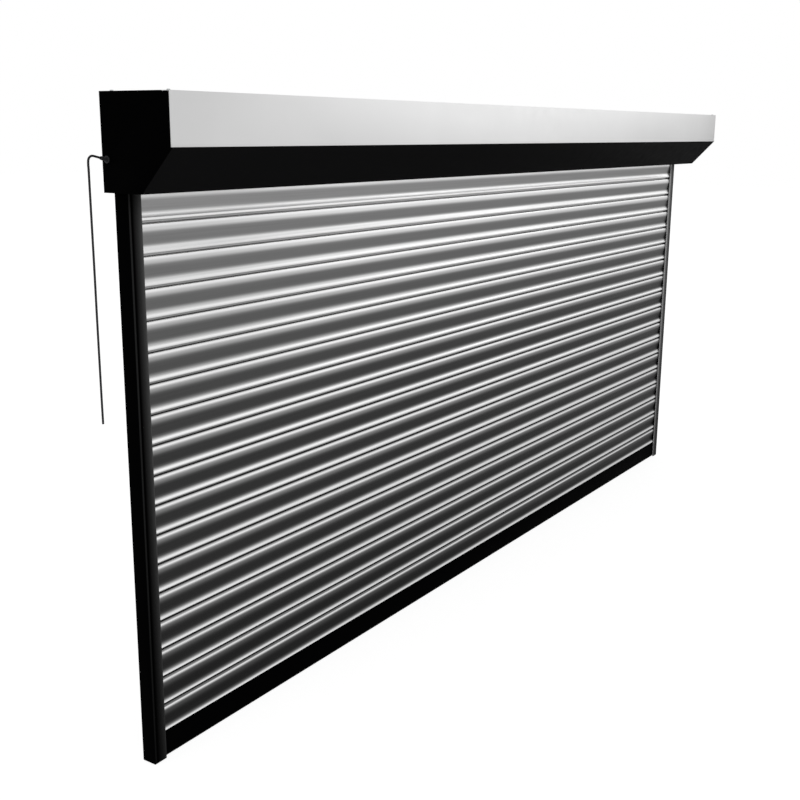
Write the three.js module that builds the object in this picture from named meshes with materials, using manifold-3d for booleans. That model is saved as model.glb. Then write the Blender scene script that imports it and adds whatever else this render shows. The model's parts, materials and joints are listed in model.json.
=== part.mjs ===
// Fire-rated roller shutter: a bevelled head box, side guides and a lath curtain on a motorised barrel.
// Millimetres, +Z up, +X along the shutter, +Y into the wall that carries it.
// The origin is on the head box's rear face, against the wall: midway along it and boxTop under its top.
// The curtain is shown closed.

import * as THREE from 'three';
import Module from 'manifold-3d';
import { mergeVertices } from 'three/addons/utils/BufferGeometryUtils.js';

const wasm = await Module();
wasm.setup();

// Fits shared by all pieces
const seatGap = 0.3;
const overrun = 5;
const roundSides = 32;
const curveSteps = 5;

// Overall sizes
const boxLength = 3425;
const boxDepth = 212;
const boxHeight = 216;
const boxTop = 106;
const frontFaceHeight = 115.3;
const overallHeight = 1620;

// Side guides
const guideInset = 29.5;
const guideWidth = 39.5;
const guideDepth = 42;
const guideGauge = 2;
const sealThickness = 2;
const sealWidth = 7;
const runClearance = 0.8;

// Lath section: reaches are from the foot of its face, heights from the joint under it,
// and the shoulder's levels are drops from the joint over it
const slatPitch = 74.6;
const slatGauge = 1;
const slatEngagement = 33;
const foldRadius = 1.5;
const hookFloor = 1.6;
const curlBack = 2.6;
const beadReach = 4.6;
const noseHeight = 6.2;
const creaseHeight = 24.5;
const faceLean = 3.4;
const shoulderFoot = 28.6;
const shoulderRadius = 4.5;
const shoulderLedge = 5.4;
const neckHeight = 11.2;
const tipDrop = 5.6;
const hookClearance = 1.45;

// Bottom bar and its floor seal
const groundGap = 1;
const floorSealHeight = 4.8;
const floorSealWidth = 10;
const floorSealToe = 5;
const barHeight = 64.8;
const barGauge = 1.5;

// Head box sheets
const coverGauge = 1.2;
const frontFlange = 24;
const topRearFlange = 36;
const backFlange = 8;
const hemHeight = 5;
const bevelFlange = 18;
const mouthMargin = 3;
const mouthLipHeight = 10;
const capGauge = 3;
const rimGauge = 2;
const rimDepth = 16;

// Screws that hold the covers to the end caps
const frontScrewEdge = 14.5;
const rearScrewEdge = 28;
const screwShankRadius = 2;
const screwHeadRadius = 4;
const screwHeadHeight = 2.2;
const screwPoint = 3;

// Curtain inlets above the guides
const inletHeight = 38;
const inletFlare = 3.5;
const inletEndClearance = 3;

// Barrel and what turns with it
const barrelFlats = 102;
const barrelWall = 2.5;
const barrelEndInset = 60;
const crownInset = 2;
const crownLength = 24;
const crownGap = 1;
const driveWheelInset = 15;
const driveWheelLength = 30;
const shaftRadius = 8;
const shaftLength = 60;
const capsuleLength = 70;
const axleRadius = 10;
const axleGrip = 60;

// Tubular motor and the brackets
const bracketGauge = 4;
const motorBracketSize = 120;
const motorHeadRadius = 33;
const motorHeadLength = 44;
const motorRadius = 29.5;
const motorLength = 640;
const bearingBracketSize = 90;
const bearingRadius = 21;
const bearingLength = 12;
const bossWall = 6;
const bossLength = 14;

// Straps that hang the curtain from the barrel
const strapCount = 4;
const strapWidth = 45;
const strapGauge = 1;
const strapEndInset = 377.5;
const strapWrapDegrees = 95;
const strapStepDegrees = 5;

// Motor lead and its strain relief in the left end cap
const cableRadius = 2.5;
const cableSides = 8;
const cableSteps = 64;
const reliefY = -16;
const reliefZ = -38.2;
const reliefTiltDegrees = 12.5;
const reliefLength = 18;
const reliefRootRadius = 5.5;
const reliefTipRadius = 3.9;
const reliefFlangeRadius = 8;
const reliefFlangeLength = 3;
const reliefShankRadius = 5;
const innerLeadSteps = 16;
const innerLeadReach = 12;

// The motor lead's route outside the box, from the strain relief to its cut end, as X and Z at reliefY
const cableRoute = [
  [-1732.17, -34.24], [-1737, -33.17], [-1742, -32.06], [-1747, -30.95], [-1751.7, -29.91],
  [-1757, -29.94], [-1761.81, -32.27], [-1765.12, -36.44], [-1766.3, -41.63], [-1766.3, -60],
  [-1766.3, -100], [-1766.2, -160], [-1766.1, -230], [-1766.1, -300], [-1766.3, -370],
  [-1766.3, -440], [-1766.2, -510], [-1766.1, -570], [-1765.8, -621.5],
];

// Levels and planes that follow from the sizes
const mouthZ = boxTop - boxHeight;
const bevelRatio = (boxDepth - frontFaceHeight) / (boxHeight - frontFaceHeight);
const footZ = boxTop - overallHeight;
const capFace = boxLength / 2;
const capInner = capFace - capGauge;
const guideOuter = capFace - guideInset;
const guideInner = guideOuter - guideWidth;
const guideTop = mouthZ - seatGap;
const noseFront = beadReach + slatGauge / 2;
const curtainY = -guideDepth + guideGauge + seatGap + sealThickness + runClearance + noseFront;
const slatEnd = guideInner + slatEngagement;
const neckBack = curlBack + slatGauge + hookClearance;
const tipBack = curlBack - slatGauge - hookClearance;
const curlTop = neckHeight - slatGauge / 2 - seatGap;
const barBack = neckBack + slatGauge / 2 + barGauge;
const barBottom = footZ + groundGap + floorSealHeight + seatGap;
const firstJoint = barBottom + barHeight;
const slatCount = Math.ceil((mouthZ - firstJoint) / slatPitch) + 1;
const topJoint = firstJoint + slatCount * slatPitch;
const throatBack = barBack + runClearance + sealThickness + seatGap;
const hemStep = coverGauge + seatGap;
const mouthLipY = -guideDepth - mouthMargin;
const rimInset = hemStep + 2 * (coverGauge + seatGap) + rimGauge / 2;
const coverEnd = capInner - seatGap;
const frontInner = -boxDepth + hemStep + coverGauge + seatGap;

// The barrel's axis is the centre of the largest circle in the box's section
const rollRadius = (boxDepth + frontFaceHeight) / (2 + Math.SQRT2);
const barrelY = -rollRadius;
const barrelZ = boxTop - rollRadius;
const barrelEnd = capFace - barrelEndInset;
const barrelBore = barrelFlats - 2 * barrelWall;

// Stations of the motor along the barrel, from the left end cap inwards
const motorBracketStart = -capInner + seatGap;
const motorHeadStart = motorBracketStart + bracketGauge + seatGap;
const motorStart = motorHeadStart + motorHeadLength + seatGap;
const shaftStart = motorStart + motorLength + seatGap;

// Finishes
const finishes = {
  paleCoat: { color: 0xd2d3d3, roughness: 0.38, metalness: 0.3 },
  blackCoat: { color: 0x141415, roughness: 0.42, metalness: 0.2 },
  lathSteel: { color: 0x8d8f92, roughness: 0.32, metalness: 0.75 },
  zincSteel: { color: 0xa3a7aa, roughness: 0.45, metalness: 0.8 },
  springSteel: { color: 0x3b3d42, roughness: 0.4, metalness: 0.7 },
  motorCoat: { color: 0xb9bcbe, roughness: 0.5, metalness: 0.4 },
  blackPlastic: { color: 0x1a1a1b, roughness: 0.6, metalness: 0 },
  sealStrip: { color: 0x262524, roughness: 0.9, metalness: 0 },
  cableJacket: { color: 0x101011, roughness: 0.55, metalness: 0 },
};
for (const name of Object.keys(finishes)) {
  finishes[name] = new THREE.MeshStandardMaterial({ name, ...finishes[name] });
}

const shutter = new THREE.Group();

function addPiece(name, geometry, finish) {
  const piece = new THREE.Mesh(geometry, finish);
  piece.name = name;
  shutter.add(piece);
}

// Outlines

function outline(points, hole) {
  const shape = new THREE.Shape(points.map(([a, b]) => new THREE.Vector2(a, b)));
  if (hole) shape.holes.push(new THREE.Path(hole.map(([a, b]) => new THREE.Vector2(a, b))));
  return shape;
}

function rectangle(lowA, highA, lowB, highB) {
  return [[lowA, lowB], [highA, lowB], [highA, highB], [lowA, highB]];
}

function polygon(centreA, centreB, radius, sides, turn = 0) {
  return Array.from({ length: sides }, (_, i) => {
    const angle = turn + (2 * Math.PI * i) / sides;
    return [centreA + radius * Math.cos(angle), centreB + radius * Math.sin(angle)];
  });
}

function octagon(centreA, centreB, acrossFlats) {
  return polygon(centreA, centreB, acrossFlats / 2 / Math.cos(Math.PI / 8), 8, Math.PI / 8);
}

// A sheet of even gauge, folded along a centreline
function sheet(line, gauge) {
  const points = line.map(([a, b]) => new THREE.Vector2(a, b));
  const headings = points.slice(1).map((point, i) => point.clone().sub(points[i]).normalize());
  const edge = (side) => points.map((point, i) => {
    const arriving = headings[Math.max(i - 1, 0)];
    const leaving = headings[Math.min(i, headings.length - 1)];
    const middle = arriving.clone().add(leaving).normalize();
    const reach = (side * gauge) / 2 / middle.dot(leaving);
    return [point.x - middle.y * reach, point.y + middle.x * reach];
  });
  return outline([...edge(1), ...edge(-1).reverse()]);
}

// Solids

// A section drawn in Y and Z, pushed out along X
function alongX(shape, from, to) {
  const geometry = new THREE.ExtrudeGeometry(shape, { depth: to - from, bevelEnabled: false });
  const [x, y, z] = [[1, 0, 0], [0, 1, 0], [0, 0, 1]].map((axis) => new THREE.Vector3(...axis));
  return geometry.applyMatrix4(new THREE.Matrix4().makeBasis(y, z, x)).translate(from, 0, 0);
}

// A section drawn in X and Y, pushed out along Z
function alongZ(shape, from, to) {
  return new THREE.ExtrudeGeometry(shape, { depth: to - from, bevelEnabled: false }).translate(0, 0, from);
}

function rod(radius, from, to, y, z) {
  return alongX(outline(polygon(y, z, radius, roundSides)), from, to);
}

function ring(outer, boreRadius, from, to) {
  return alongX(outline(outer, polygon(barrelY, barrelZ, boreRadius, roundSides)), from, to);
}

// A round tube along a curve
function tube(points, radius, steps) {
  const path = new THREE.CatmullRomCurve3(points.map((point) => new THREE.Vector3(...point)));
  const section = outline(polygon(0, 0, radius, cableSides));
  return new THREE.ExtrudeGeometry(section, { steps, extrudePath: path, bevelEnabled: false });
}

function solid(geometry) {
  const bare = geometry.clone();
  bare.deleteAttribute('normal');
  bare.deleteAttribute('uv');
  const merged = mergeVertices(bare);
  return new wasm.Manifold(new wasm.Mesh({
    numProp: 3,
    vertProperties: new Float32Array(merged.attributes.position.array),
    triVerts: new Uint32Array(merged.index.array),
  }));
}

function surface(body) {
  const mesh = body.getMesh();
  const geometry = new THREE.BufferGeometry();
  geometry.setAttribute('position', new THREE.BufferAttribute(mesh.vertProperties, mesh.numProp));
  geometry.setIndex(new THREE.BufferAttribute(mesh.triVerts, 1));
  geometry.computeVertexNormals();
  return geometry;
}

function joined(...geometries) {
  return surface(geometries.map(solid).reduce((sum, part) => sum.add(part)));
}

function cut(geometry, ...cutters) {
  return surface(cutters.map(solid).reduce((rest, part) => rest.subtract(part), solid(geometry)));
}

// Head box

// Corners of the box's section, drawn in by an even distance
function boxCorners(inset) {
  const turn = Math.atan(bevelRatio);
  return {
    rearFoot: [-inset, mouthZ + inset],
    rearTop: [-inset, boxTop - inset],
    frontTop: [-boxDepth + inset, boxTop - inset],
    frontFoot: [-boxDepth + inset, boxTop - frontFaceHeight + inset * Math.tan(turn / 2)],
    bevelFoot: [-frontFaceHeight + inset * Math.tan(Math.PI / 4 - turn / 2), mouthZ + inset],
  };
}

// The bevel's place in Y at a level of its own
function bevelY(z) {
  return -boxDepth + (boxTop - frontFaceHeight - z) * bevelRatio;
}

const screwX = capInner - rimDepth / 2;
const screwRows = { front: -boxDepth + frontScrewEdge, rear: -rearScrewEdge };

function coverScrewPlaces() {
  return [-1, 1].flatMap((side) => Object.entries(screwRows).map(([row, y]) => {
    return { name: `top_screw_${side < 0 ? 'left' : 'right'}_${row}`, x: side * screwX, y };
  }));
}

function uprightCylinder(radius, x, y, low, high) {
  return new THREE.CylinderGeometry(radius, radius, high - low, roundSides)
    .rotateX(Math.PI / 2)
    .translate(x, y, (low + high) / 2);
}

function screwHoles(wanted) {
  const low = boxTop - rimInset - rimGauge - overrun;
  return coverScrewPlaces().filter(wanted).map(({ x, y }) => {
    return uprightCylinder(screwShankRadius + seatGap, x, y, low, boxTop + overrun);
  });
}

function addCoverScrews() {
  const headFoot = boxTop + seatGap;
  const point = boxTop - rimInset - rimGauge / 2 - screwPoint;
  for (const { name, x, y } of coverScrewPlaces()) {
    const head = uprightCylinder(screwHeadRadius, x, y, headFoot, headFoot + screwHeadHeight);
    const shank = uprightCylinder(screwShankRadius, x, y, point, headFoot + screwHeadHeight / 2);
    addPiece(name, joined(head, shank), finishes.zincSteel);
  }
}

// The front cover laps over the end caps' front and top edges, so their plates step back under it
function addEndCap(side) {
  const { rearFoot, rearTop, bevelFoot } = boxCorners(0);
  const flangeEnd = -boxDepth + frontFlange + seatGap;
  const underCover = boxTop - hemStep;
  const coverFoot = boxTop - frontFaceHeight - seatGap;
  const edges = [
    rearFoot, rearTop, [flangeEnd, boxTop], [flangeEnd, underCover], [frontInner, underCover],
    [frontInner, coverFoot], [bevelY(coverFoot), coverFoot], bevelFoot,
  ];
  const rimCorners = boxCorners(rimInset);
  const plate = alongX(outline(edges), capInner, capFace);
  const rimLine = [...Object.values(rimCorners), [mouthLipY - hemStep, mouthZ + rimInset]];
  const rim = alongX(sheet(rimLine, rimGauge), capInner - rimDepth, capInner + capGauge / 2);
  const cutters = screwHoles(({ x }) => x > 0);
  if (side < 0) {
    const holeRadius = reliefShankRadius + seatGap;
    cutters.push(rod(holeRadius, capInner - overrun, capFace + overrun, reliefY, reliefZ));
  }
  const cap = solid(cut(joined(plate, rim), ...cutters));
  const placed = side < 0 ? cap.mirror([1, 0, 0]) : cap;
  addPiece(side < 0 ? 'end_cap_left' : 'end_cap_right', surface(placed), finishes.blackCoat);
}

function addBackPanel() {
  const half = coverGauge / 2;
  const line = [
    [-backFlange, mouthZ + half], [-half, mouthZ + half],
    [-half, boxTop - half], [-topRearFlange, boxTop - half],
  ];
  const panel = alongX(sheet(line, coverGauge), -coverEnd, coverEnd);
  addPiece('box_back_panel', cut(panel, ...screwHoles(({ y }) => y === screwRows.rear)), finishes.paleCoat);
}

function addTopPanel() {
  const top = boxTop - coverGauge - seatGap;
  const rear = -coverGauge - seatGap;
  const panel = alongX(outline(rectangle(frontInner, rear, top - coverGauge, top)), -coverEnd, coverEnd);
  addPiece('box_top_panel', cut(panel, ...screwHoles(() => true)), finishes.paleCoat);
}

// The pale front cover ends in a hem folded up in front of its face
function addFrontCover() {
  const half = coverGauge / 2;
  const faceY = -boxDepth + hemStep + half;
  const hemY = -boxDepth + half;
  const hemZ = boxTop - frontFaceHeight + half;
  const line = [
    [-boxDepth + frontFlange, boxTop - half], [faceY, boxTop - half], [faceY, hemZ],
    [hemY, hemZ], [hemY, hemZ + hemHeight],
  ];
  const panel = alongX(sheet(line, coverGauge), -capFace, capFace);
  addPiece('front_cover', cut(panel, ...screwHoles(({ y }) => y === screwRows.front)), finishes.paleCoat);
}

// The black cover laps behind the front cover, slopes back to its foot and runs under the box to the mouth
function addBevelCover() {
  const half = coverGauge / 2;
  const flangeY = frontInner + half;
  const ledgeZ = boxTop - frontFaceHeight - seatGap - half;
  const ledgeY = bevelY(ledgeZ) + half * Math.hypot(1, bevelRatio);
  const line = [
    [flangeY, ledgeZ + bevelFlange], [flangeY, ledgeZ], [ledgeY, ledgeZ], boxCorners(half).bevelFoot,
    [mouthLipY, mouthZ + half], [mouthLipY, mouthZ + half + mouthLipHeight],
  ];
  addPiece('bevel_cover', alongX(sheet(line, coverGauge), -coverEnd, coverEnd), finishes.blackCoat);
}

function addMouthSeal() {
  const front = mouthLipY + coverGauge / 2 + seatGap;
  const rear = forward(noseFront + runClearance);
  const low = mouthZ + coverGauge;
  const strip = rectangle(front, rear, low, mouthZ + mouthLipHeight);
  const end = guideInner - seatGap;
  addPiece('mouth_seal', alongX(outline(strip), -end, end), finishes.sealStrip);
}

// Curtain

function forward(reach) {
  return curtainY - reach;
}

// The bead under a lath: a curl, the trough and the nose
function lowerHook(joint) {
  return [
    [forward(-curlBack), joint + curlTop],
    [forward(-curlBack), joint + hookFloor + foldRadius],
    [forward(-curlBack + foldRadius), joint + hookFloor],
    [forward(beadReach - foldRadius), joint + hookFloor],
    [forward(beadReach), joint + noseHeight],
  ];
}

// The hook over a lath, which hangs on the curl of the one above
function upperHook(joint) {
  return [
    [forward(-neckBack), joint + neckHeight - foldRadius],
    [forward(-neckBack + foldRadius), joint + neckHeight],
    [forward(-tipBack - foldRadius), joint + neckHeight],
    [forward(-tipBack), joint + neckHeight - foldRadius],
    [forward(-tipBack), joint + neckHeight - tipDrop],
  ];
}

// The flared bead runs from the nose to the foot of the face, ever more steeply
function bead(joint) {
  return Array.from({ length: curveSteps }, (_, i) => {
    const rise = (i + 1) / curveSteps;
    return [
      forward(beadReach * (1 - rise) ** 2),
      joint + noseHeight + rise * (creaseHeight - noseHeight),
    ];
  });
}

// Points along an arc in the lath's section, given as reach and height, by its tangents' backward tilts
function bend(centreReach, centreZ, radius, fromTilt, toTilt) {
  return Array.from({ length: curveSteps + 1 }, (_, i) => {
    const tilt = fromTilt + ((toTilt - fromTilt) * i) / curveSteps;
    return [forward(centreReach + radius * Math.cos(tilt)), centreZ + radius * Math.sin(tilt)];
  });
}

// The face leans out to a shallow crown, which rolls over a tight shoulder into a level ledge
function shoulder(next) {
  const lean = Math.atan2(faceLean, slatPitch - creaseHeight - shoulderFoot);
  const rollZ = next - shoulderLedge - shoulderRadius;
  const rollStart = rollZ + shoulderRadius * Math.sin(lean);
  const crownRadius = (rollStart - next + shoulderFoot) / (2 * Math.sin(lean));
  const crownZ = next - shoulderFoot + crownRadius * Math.sin(lean);
  const crown = bend(faceLean - crownRadius * Math.cos(lean), crownZ, crownRadius, -lean, lean);
  const roll = bend(faceLean - shoulderRadius * Math.cos(lean), rollZ, shoulderRadius, lean, Math.PI / 2);
  return [...crown, ...roll.slice(1)];
}

function slatLine(joint) {
  const next = joint + slatPitch;
  return [
    ...lowerHook(joint), ...bead(joint), ...shoulder(next),
    [forward(-neckBack + foldRadius), next - shoulderLedge],
    [forward(-neckBack), next - shoulderLedge + foldRadius], ...upperHook(next),
  ];
}

function addSlats() {
  for (let i = 0; i < slatCount; i += 1) {
    const section = sheet(slatLine(firstJoint + i * slatPitch), slatGauge);
    const name = `slat_${String(i + 1).padStart(2, '0')}`;
    addPiece(name, alongX(section, -slatEnd, slatEnd), finishes.lathSteel);
  }
}

// The bottom bar is a box section as deep as the laths, with a hook for the first lath
function addBottomBar() {
  const front = forward(noseFront);
  const rear = forward(-barBack);
  const outer = rectangle(front, rear, barBottom, firstJoint);
  const inner = rectangle(front + barGauge, rear - barGauge, barBottom + barGauge, firstJoint - barGauge);
  const hookLine = [[forward(-neckBack), firstJoint - barGauge / 2], ...upperHook(firstJoint)];
  const bar = joined(
    alongX(outline(outer, inner), -slatEnd, slatEnd),
    alongX(sheet(hookLine, slatGauge), -slatEnd, slatEnd),
  );
  addPiece('bottom_bar', bar, finishes.blackCoat);

  const low = footZ + groundGap;
  const high = low + floorSealHeight;
  const middle = (front + rear) / 2;
  const strip = [
    [middle - floorSealWidth / 2, high], [middle - floorSealWidth / 2, (low + high) / 2],
    [middle - floorSealToe / 2, low], [middle + floorSealToe / 2, low],
    [middle + floorSealWidth / 2, (low + high) / 2], [middle + floorSealWidth / 2, high],
  ];
  addPiece('floor_seal', alongX(outline(strip), -slatEnd, slatEnd), finishes.sealStrip);
}

// Guides

// The front flange ends free, with the curtain close behind it, and the rear one turns in to the curtain
function addGuide(side) {
  const hand = side < 0 ? 'left' : 'right';
  const half = guideGauge / 2;
  const x = (depth) => side * (guideInner + depth);
  const line = [
    [x(0), -guideDepth + half], [x(guideWidth - half), -guideDepth + half],
    [x(guideWidth - half), -half], [x(half), -half], [x(half), forward(-throatBack)],
  ];
  addPiece(`guide_${hand}`, alongZ(sheet(line, guideGauge), footZ, guideTop), finishes.blackCoat);

  const strips = {
    front: [-guideDepth + guideGauge + seatGap, forward(noseFront + runClearance)],
    rear: [forward(-throatBack + seatGap + sealThickness), forward(-throatBack + seatGap)],
  };
  for (const [row, [near, far]] of Object.entries(strips)) {
    const strip = outline(rectangle(x(0), x(sealWidth), near, far));
    addPiece(`guide_seal_${hand}_${row}`, alongZ(strip, footZ, guideTop), finishes.sealStrip);
  }
}

function addInlet(side) {
  const low = mouthZ + seatGap;
  const high = low + inletHeight;
  const blockFront = mouthLipY + coverGauge / 2 + seatGap;
  const block = rectangle(blockFront, -backFlange - seatGap, low, high);
  const front = noseFront + runClearance;
  const back = barBack + runClearance;
  const funnel = [
    [forward(front), low - overrun], [forward(-back), low - overrun], [forward(-back), low],
    [forward(-back - inletFlare), high], [forward(-back - inletFlare), high + overrun],
    [forward(front + inletFlare), high + overrun], [forward(front + inletFlare), high],
    [forward(front), low],
  ];
  const body = alongX(outline(block), guideInner, coverEnd);
  const slot = alongX(outline(funnel), guideInner - overrun, slatEnd + inletEndClearance);
  const inlet = solid(cut(body, slot));
  const placed = side < 0 ? inlet.mirror([1, 0, 0]) : inlet;
  addPiece(side < 0 ? 'inlet_left' : 'inlet_right', surface(placed), finishes.blackPlastic);
}

// Barrel

function addBarrel() {
  const bore = octagon(barrelY, barrelZ, barrelBore);
  const shell = outline(octagon(barrelY, barrelZ, barrelFlats), bore);
  addPiece('barrel', alongX(shell, -barrelEnd, barrelEnd), finishes.zincSteel);

  const plug = octagon(barrelY, barrelZ, barrelBore - 2 * seatGap);
  const crownStart = -barrelEnd + crownInset;
  const crown = ring(plug, motorRadius + crownGap, crownStart, crownStart + crownLength);
  addPiece('crown_ring', crown, finishes.blackPlastic);

  const wheelStart = shaftStart + driveWheelInset;
  const wheel = ring(plug, shaftRadius + seatGap, wheelStart, wheelStart + driveWheelLength);
  addPiece('drive_wheel', wheel, finishes.blackPlastic);
  const shaft = rod(shaftRadius, shaftStart, shaftStart + shaftLength, barrelY, barrelZ);
  addPiece('output_shaft', shaft, finishes.zincSteel);

  const capsule = ring(plug, axleRadius + seatGap, barrelEnd - capsuleLength, barrelEnd);
  addPiece('idler_capsule', capsule, finishes.blackPlastic);
  const pinEnd = capInner - bracketGauge - 2 * seatGap;
  const pin = rod(axleRadius, barrelEnd - axleGrip, pinEnd, barrelY, barrelZ);
  addPiece('axle_pin', pin, finishes.zincSteel);
}

function addMotor() {
  const reach = motorBracketSize / 2;
  const plate = rectangle(barrelY - reach, barrelY + reach, barrelZ - reach, barrelZ + reach);
  const bracket = alongX(outline(plate), motorBracketStart, motorBracketStart + bracketGauge);
  addPiece('motor_bracket', bracket, finishes.zincSteel);
  const head = rod(motorHeadRadius, motorHeadStart, motorHeadStart + motorHeadLength, barrelY, barrelZ);
  addPiece('motor_head', head, finishes.blackPlastic);
  const body = rod(motorRadius, motorStart, motorStart + motorLength, barrelY, barrelZ);
  addPiece('motor_body', body, finishes.motorCoat);
}

function addIdlerBearing() {
  const reach = bearingBracketSize / 2;
  const seat = bearingRadius + seatGap;
  const plate = rectangle(barrelY - reach, barrelY + reach, barrelZ - reach, barrelZ + reach);
  const plateStart = capInner - seatGap - bracketGauge;
  const flange = alongX(outline(plate), plateStart, plateStart + bracketGauge);
  const wall = polygon(barrelY, barrelZ, seat + bossWall, roundSides);
  const boss = ring(wall, seat, plateStart - bossLength, plateStart + bracketGauge / 2);
  addPiece('bearing_bracket', joined(flange, boss), finishes.zincSteel);
  const bearingEnd = plateStart - seatGap;
  const race = polygon(barrelY, barrelZ, bearingRadius, roundSides);
  const bearing = ring(race, axleRadius + seatGap, bearingEnd - bearingLength, bearingEnd);
  addPiece('bearing', bearing, finishes.springSteel);
}

// Each strap hooks under the top lath, rises to the barrel and wraps over it
function strapLine() {
  const hook = lowerHook(topJoint);
  const [noseY, noseZ] = hook[hook.length - 1];
  const barrelCorner = barrelFlats / 2 / Math.cos(Math.PI / 8);
  const wrapRadius = barrelCorner + seatGap + strapGauge / 2;
  const across = noseY - barrelY;
  const up = noseZ - barrelZ;
  const start = Math.atan2(up, across) + Math.acos(wrapRadius / Math.hypot(across, up));
  const steps = Math.round(strapWrapDegrees / strapStepDegrees);
  const wrap = Array.from({ length: steps + 1 }, (_, i) => {
    const angle = start + THREE.MathUtils.degToRad((strapWrapDegrees * i) / steps);
    return [barrelY + wrapRadius * Math.cos(angle), barrelZ + wrapRadius * Math.sin(angle)];
  });
  return [...hook, ...wrap];
}

function addStraps() {
  const spacing = (2 * (barrelEnd - strapEndInset)) / (strapCount - 1);
  for (let i = 0; i < strapCount; i += 1) {
    const middle = (i - (strapCount - 1) / 2) * spacing;
    const section = sheet(strapLine(), strapGauge);
    const strap = alongX(section, middle - strapWidth / 2, middle + strapWidth / 2);
    addPiece(`hanger_strap_${i + 1}`, strap, finishes.springSteel);
  }
}

// Motor lead

// The relief is a flanged bush through the cap with a tapered sleeve that leans up
function addStrainRelief() {
  const flangeStart = -capFace - seatGap - reliefFlangeLength;
  const flange = rod(reliefFlangeRadius, flangeStart, -capFace - seatGap, reliefY, reliefZ);
  const collarStart = -capInner + seatGap;
  const collar = rod(reliefFlangeRadius, collarStart, collarStart + reliefFlangeLength, reliefY, reliefZ);
  const middle = reliefFlangeLength / 2;
  const shank = rod(reliefShankRadius, flangeStart + middle, collarStart + middle, reliefY, reliefZ);
  const sleeve = new THREE.CylinderGeometry(reliefTipRadius, reliefRootRadius, reliefLength, roundSides)
    .translate(0, reliefLength / 2, 0)
    .rotateX(Math.PI / 2)
    .rotateY(THREE.MathUtils.degToRad(reliefTiltDegrees) - Math.PI / 2)
    .translate(flangeStart + middle, reliefY, reliefZ);
  addPiece('strain_relief', joined(flange, collar, shank, sleeve), finishes.blackPlastic);
}

function addMotorLead() {
  const route = cableRoute.map(([x, z]) => [x, reliefY, z]);
  addPiece('motor_cable', tube(route, cableRadius, cableSteps), finishes.cableJacket);

  const leadStart = -capInner + 2 * seatGap + reliefFlangeLength;
  const headX = motorHeadStart + motorHeadLength / 2;
  const toHead = new THREE.Vector2(reliefY - barrelY, reliefZ - barrelZ).normalize();
  const arrive = (radius) => [headX, barrelY + radius * toHead.x, barrelZ + radius * toHead.y];
  const inner = [
    [leadStart, reliefY, reliefZ], [leadStart + innerLeadReach, reliefY, reliefZ],
    arrive(motorHeadRadius + innerLeadReach), arrive(motorHeadRadius + seatGap),
  ];
  addPiece('inner_lead', tube(inner, cableRadius, innerLeadSteps), finishes.cableJacket);
}

for (const side of [-1, 1]) {
  addEndCap(side);
  addGuide(side);
  addInlet(side);
}
addBackPanel();
addTopPanel();
addFrontCover();
addBevelCover();
addMouthSeal();
addCoverScrews();
addSlats();
addBottomBar();
addBarrel();
addMotor();
addIdlerBearing();
addStraps();
addStrainRelief();
addMotorLead();

export default shutter;
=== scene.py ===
import json
import math

import bmesh
import bpy
from mathutils import Matrix, Vector

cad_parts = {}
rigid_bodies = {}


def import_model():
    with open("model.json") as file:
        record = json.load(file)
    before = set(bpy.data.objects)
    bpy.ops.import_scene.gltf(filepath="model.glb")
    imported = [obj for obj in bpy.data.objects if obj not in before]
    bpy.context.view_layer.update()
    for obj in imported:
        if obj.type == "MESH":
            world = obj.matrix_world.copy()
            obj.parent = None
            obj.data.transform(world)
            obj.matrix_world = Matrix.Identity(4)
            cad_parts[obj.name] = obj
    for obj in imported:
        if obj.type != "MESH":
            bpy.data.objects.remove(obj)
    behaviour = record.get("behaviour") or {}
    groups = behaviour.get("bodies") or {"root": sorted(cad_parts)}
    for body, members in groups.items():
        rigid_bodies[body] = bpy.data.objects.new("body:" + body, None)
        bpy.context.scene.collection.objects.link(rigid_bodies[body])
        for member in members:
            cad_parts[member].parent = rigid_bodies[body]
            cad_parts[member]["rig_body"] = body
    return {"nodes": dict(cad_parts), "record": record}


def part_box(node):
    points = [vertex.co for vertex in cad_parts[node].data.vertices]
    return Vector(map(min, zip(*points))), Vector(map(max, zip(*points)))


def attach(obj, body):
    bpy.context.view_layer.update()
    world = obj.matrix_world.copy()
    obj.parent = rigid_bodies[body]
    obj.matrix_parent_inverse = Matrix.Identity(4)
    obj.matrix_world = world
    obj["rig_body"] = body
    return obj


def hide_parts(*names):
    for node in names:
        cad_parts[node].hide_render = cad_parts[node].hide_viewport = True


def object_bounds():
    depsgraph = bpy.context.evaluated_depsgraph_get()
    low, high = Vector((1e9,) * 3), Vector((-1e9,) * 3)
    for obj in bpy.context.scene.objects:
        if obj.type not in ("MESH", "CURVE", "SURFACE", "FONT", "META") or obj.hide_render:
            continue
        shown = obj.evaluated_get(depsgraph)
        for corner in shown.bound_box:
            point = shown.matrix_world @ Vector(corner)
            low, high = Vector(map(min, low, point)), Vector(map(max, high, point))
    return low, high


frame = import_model()
cad_low, cad_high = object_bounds()

MM = 0.001

# Camera, fitted to the photograph's corners
CAMERA_PLACE = (-3.428242, -1.928066, 0.028402)
CAMERA_YAW = 0.9833
CAMERA_PITCH = 0.23644
CAMERA_ROLL = 0.00776
CAMERA_LENS = 50.36
CAMERA_SENSOR = 36

# Motor lead, from the strain relief to its cut end, as X and Z in millimetres
LEAD_Y = -16
LEAD_RADIUS = 2.5
LEAD_ROUTE = [
    (-1732.17, -34.24), (-1737, -33.17), (-1742, -32.06), (-1747, -30.95), (-1751.7, -29.91),
    (-1757, -29.94), (-1761.81, -32.27), (-1765.12, -36.44), (-1766.3, -41.63), (-1766.3, -60),
    (-1766.3, -100), (-1766.2, -160), (-1766.1, -230), (-1766.1, -300), (-1766.3, -370),
    (-1766.3, -440), (-1766.2, -510), (-1766.1, -570), (-1765.8, -621.5),
]

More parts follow.
